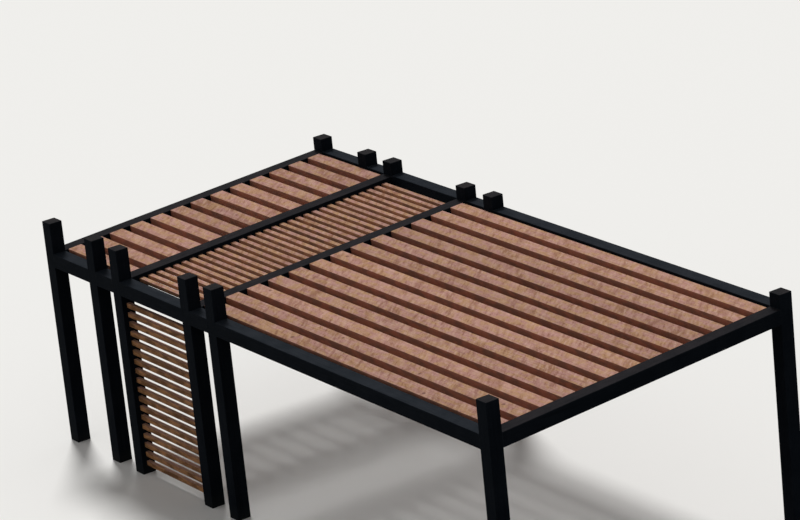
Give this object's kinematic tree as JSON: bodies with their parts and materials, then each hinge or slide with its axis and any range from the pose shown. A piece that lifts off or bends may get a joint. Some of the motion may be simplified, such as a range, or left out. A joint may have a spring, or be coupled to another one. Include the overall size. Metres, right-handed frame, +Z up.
{
  "type": "wooden garden pergola",
  "caption": "Long wooden pergola with a dark painted post-and-beam frame, a gently sloping roof of wide timber rafters, and a narrow slatted bay with slatted side screens.",
  "frame": {"origin": "middle of the footprint, on the ground", "axes": "+Z up, X along the long side with the large bay at +X, +Y towards the higher side of the roof"},
  "size_m": [9.17, 4.32, 2.95],
  "materials": {
    "painted_frame": "charcoal painted timber, satin",
    "wood_rafters": "reddish-brown stained timber, matt",
    "wood_slats": "reddish-brown stained timber, matt"
  },
  "bodies": {
    "root": {"far_beam_1": "painted_frame", "far_beam_2": "painted_frame", "far_beam_3": "painted_frame", "far_beam_4": "painted_frame", "far_beam_5": "painted_frame", "far_post_1": "painted_frame", "far_post_2": "painted_frame", "far_post_3": "painted_frame", "far_post_4": "painted_frame", "far_post_5": "painted_frame", "far_post_6": "painted_frame", "far_screen_slats": "wood_slats", "left_bay_rafters": "wood_rafters", "left_cross_beam": "painted_frame", "middle_bay_roof_slats": "wood_slats", "middle_left_cross_beam": "painted_frame", "middle_right_cross_beam": "painted_frame", "near_beam_1": "painted_frame", "near_beam_2": "painted_frame", "near_beam_3": "painted_frame", "near_beam_4": "painted_frame", "near_beam_5": "painted_frame", "near_post_1": "painted_frame", "near_post_2": "painted_frame", "near_post_3": "painted_frame", "near_post_4": "painted_frame", "near_post_5": "painted_frame", "near_post_6": "painted_frame", "near_screen_slats": "wood_slats", "right_bay_rafters": "wood_rafters", "right_cross_beam": "painted_frame"}
  },
  "joints": []
}
